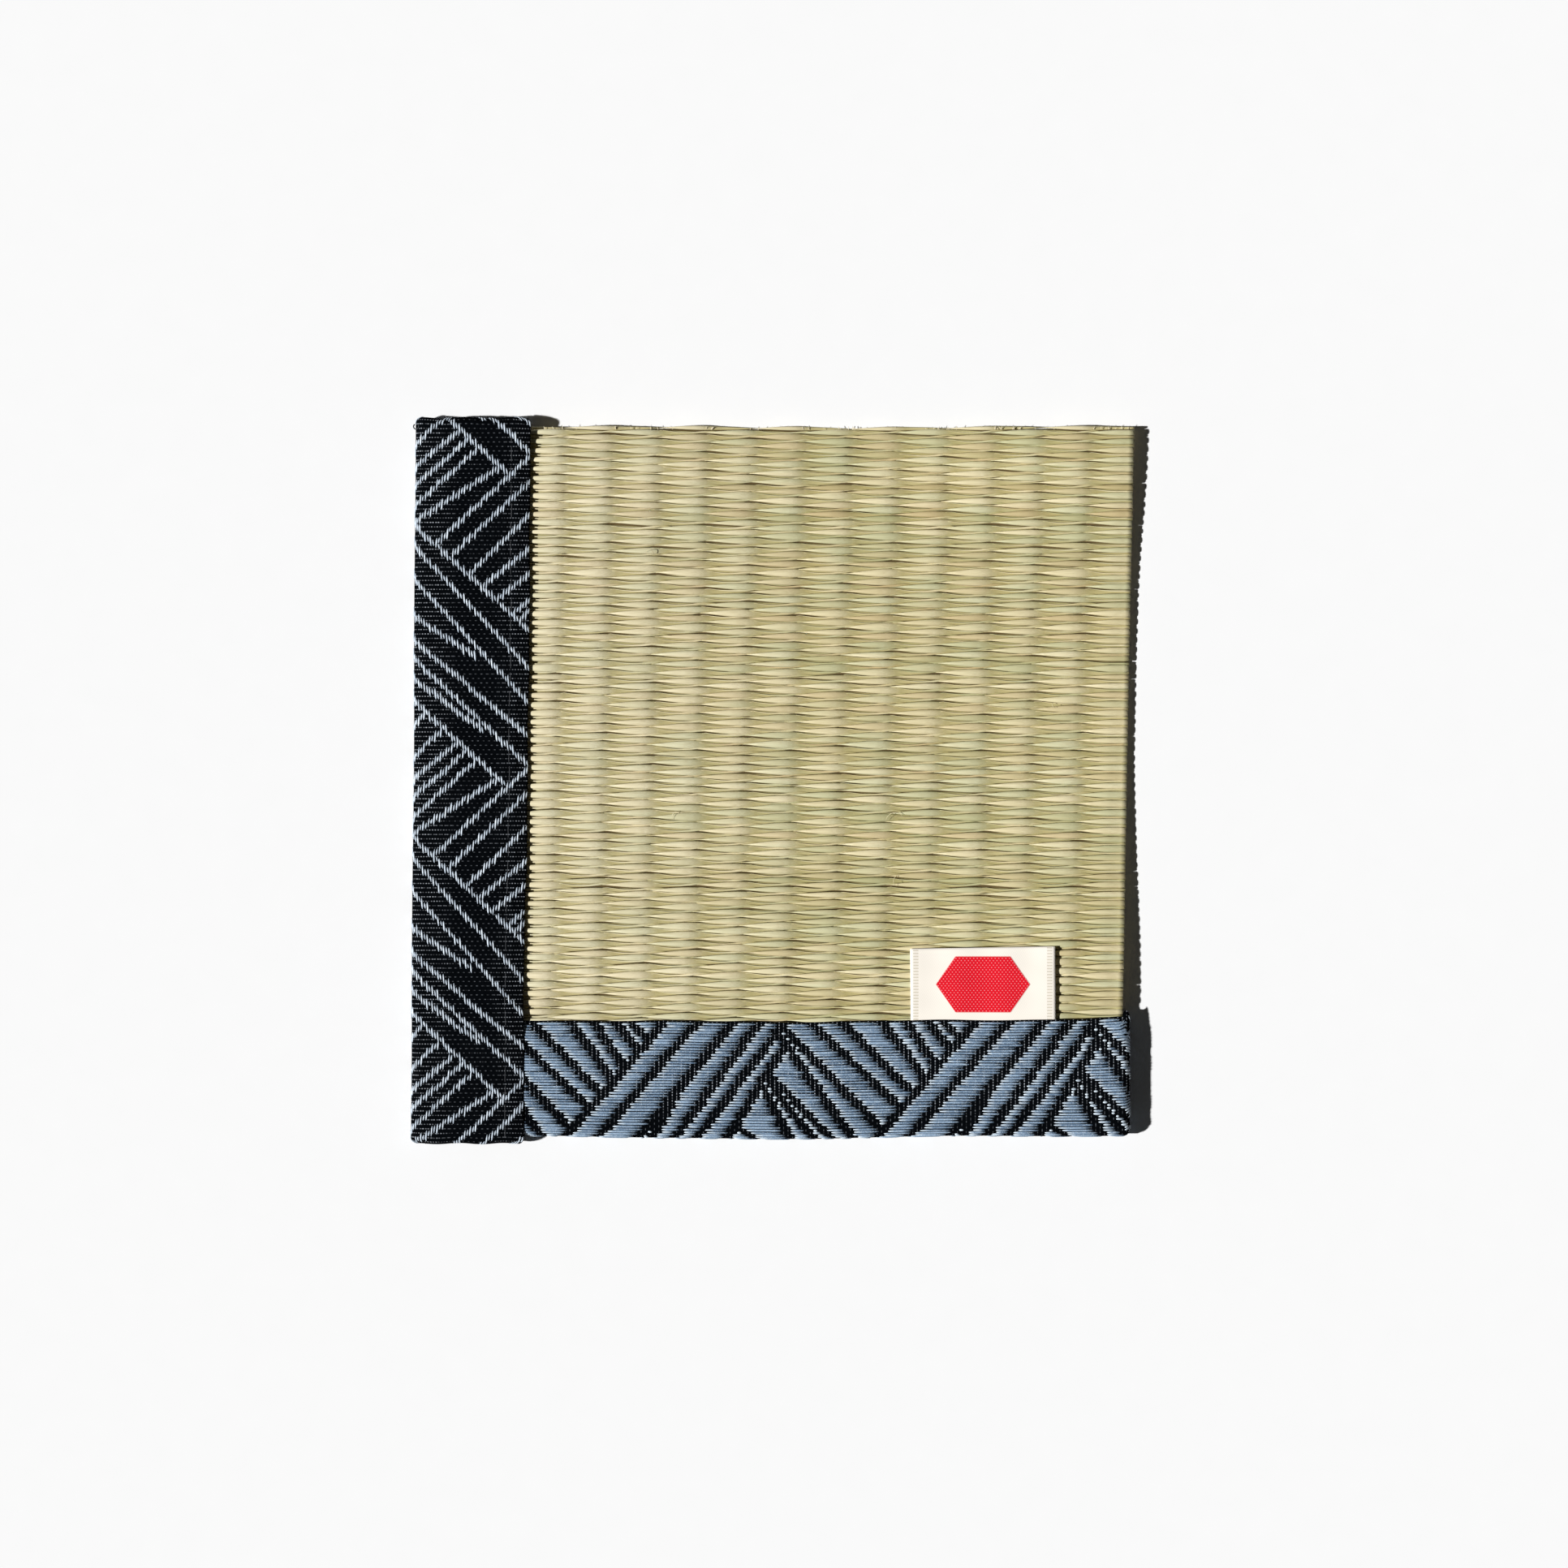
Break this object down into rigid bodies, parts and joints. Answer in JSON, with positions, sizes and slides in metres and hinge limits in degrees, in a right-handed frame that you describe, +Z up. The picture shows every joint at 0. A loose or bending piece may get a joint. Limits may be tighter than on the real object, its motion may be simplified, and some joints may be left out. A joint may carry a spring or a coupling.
{
  "type": "tatami coaster",
  "caption": "Square woven-rush coaster bound in figured cloth along its left and near edges, with a small sewn-in label; it lies on a table under a cup or an ornament.",
  "frame": {"origin": "on the surface that the coaster lies on, under the centre of its outline", "axes": "+X along the rushes, towards the cut right edge; +Y along the warps and the dark binding, towards the far edge; +Z up, out of the face"},
  "size_m": [0.1138, 0.1142, 0.0051],
  "materials": {
    "rush": "woven dried rush, low sheen",
    "dark_brocade": "dark figured cloth, matte with pale thread floats",
    "blue_brocade": "slate-blue figured satin cloth, soft sheen",
    "cream_label": "cream woven label, matte"
  },
  "bodies": {
    "root": {"rush_mat": "rush", "binding_blue": "blue_brocade", "binding_dark": "dark_brocade", "label": "cream_label"}
  },
  "joints": []
}
